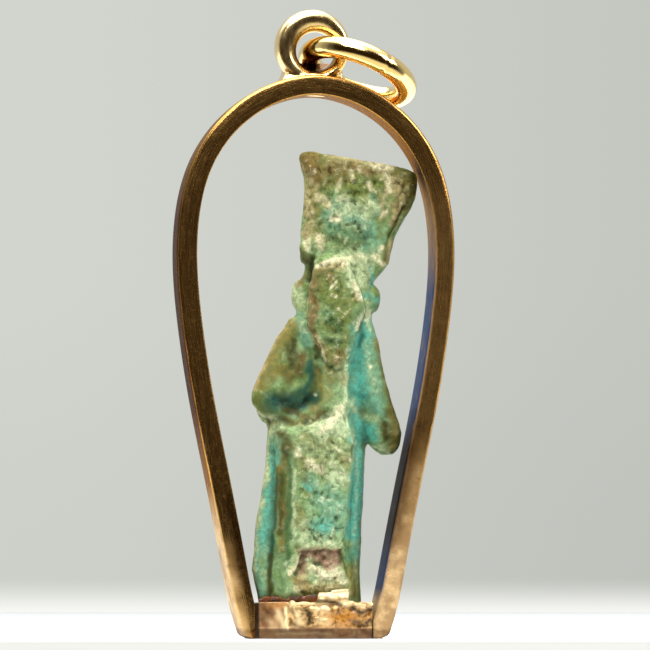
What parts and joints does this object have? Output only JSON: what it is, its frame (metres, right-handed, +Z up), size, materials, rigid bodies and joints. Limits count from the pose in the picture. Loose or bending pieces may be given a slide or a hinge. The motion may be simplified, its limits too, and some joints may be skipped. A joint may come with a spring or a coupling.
{
  "type": "deity amulet",
  "caption": "Small glazed standing deity amulet with a tall flared crown, mounted in a gold horseshoe band frame with a base cup, a bail and a jump ring.",
  "frame": {"origin": "centre of the underside of the whole object's box, on the surface it stands on", "axes": "+Z up, +Y the way the figure faces, -Y the pictured side with the back pillar, +X to the right as pictured"},
  "size_m": [0.0134, 0.0058, 0.0301],
  "materials": {
    "faience": "worn blue-green glaze, granular where it is abraded, brown in the pits and at the break",
    "rose_gold": "rose gold, satin from wear, fine scratches",
    "yellow_gold": "polished yellow gold",
    "resin": "aged amber cement"
  },
  "bodies": {
    "root": {"deity_figure": "faience", "frame_band": "rose_gold", "base_cup": "rose_gold", "cement_fill": "resin", "bail": "yellow_gold", "jump_ring": "yellow_gold"}
  },
  "joints": []
}
